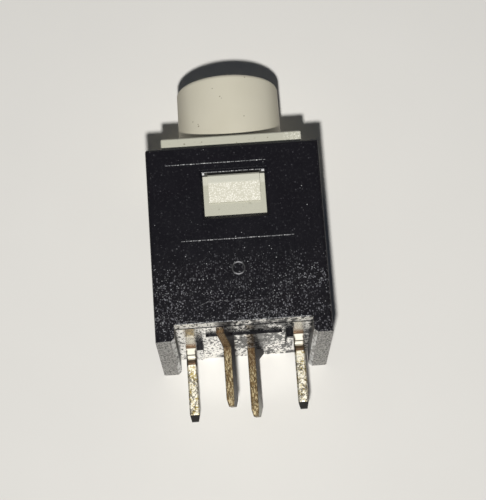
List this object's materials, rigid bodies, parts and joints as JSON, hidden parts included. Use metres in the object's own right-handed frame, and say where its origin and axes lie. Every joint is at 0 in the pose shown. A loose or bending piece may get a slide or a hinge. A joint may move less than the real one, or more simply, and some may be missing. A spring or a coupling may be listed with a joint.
{
  "type": "tactile push button switch",
  "caption": "Square board-mounted push button switch with a round cap on a latched square plunger, two legs and four staggered terminals.",
  "frame": {"origin": "middle of the terminal pattern, level with the undersides of the housing's two legs, where the upper face of the board lies", "axes": "+Z is the way the button points, away from the board; the terminals point to -Z; the front with the insert mark faces -Y; the legs are at -X and +X"},
  "size_m": [0.012, 0.012, 0.0242],
  "materials": {
    "housing_plastic": "black moulded plastic, fine speckle and scuffs low on the front",
    "base_plastic": "black moulded plastic, dusty",
    "plunger_plastic": "greyish cream moulded plastic",
    "cap_plastic": "warm cream moulded plastic, satin",
    "tinned_strip": "tin plated, browned at the kink",
    "sheared_strip": "dull plating with bare sheared edges",
    "contact_silver": "silver",
    "spring_steel": "bright spring wire and strip",
    "natural_plastic": "natural moulded plastic"
  },
  "bodies": {
    "housing_body": {"housing": "housing_plastic", "base": "base_plastic", "outer_left_terminal": "tinned_strip", "outer_right_terminal": "tinned_strip", "inner_near_terminal": "sheared_strip", "inner_far_terminal": "sheared_strip", "left_rim_contact": "contact_silver", "right_rim_contact": "contact_silver", "near_centre_contact": "contact_silver", "far_centre_contact": "contact_silver", "snap_dome": "spring_steel", "dome_retainer": "natural_plastic", "return_spring": "spring_steel"},
    "plunger_body": {"plunger": "plunger_plastic", "cap": "cap_plastic"},
    "pusher_body": {"pusher": "natural_plastic", "pusher_spring": "spring_steel"}
  },
  "joints": [
    {"name": "button_press", "type": "slide", "parent": "housing_body", "child": "plunger_body", "axis": [0, 0, -1], "range_m": [0, 0.00095], "stiffness_N_per_m": 600, "springref_m": -0.0012, "deforming": ["return_spring", "pusher_spring"]},
    {"name": "pusher_drop", "type": "slide", "parent": "housing_body", "child": "pusher_body", "axis": [0, 0, -1], "range_m": [0, 0.0003], "deforming": ["snap_dome"]}
  ],
  "couplings": [
    {"joint": "pusher_drop", "follows": "button_press", "ratio": 0.31578}
  ]
}
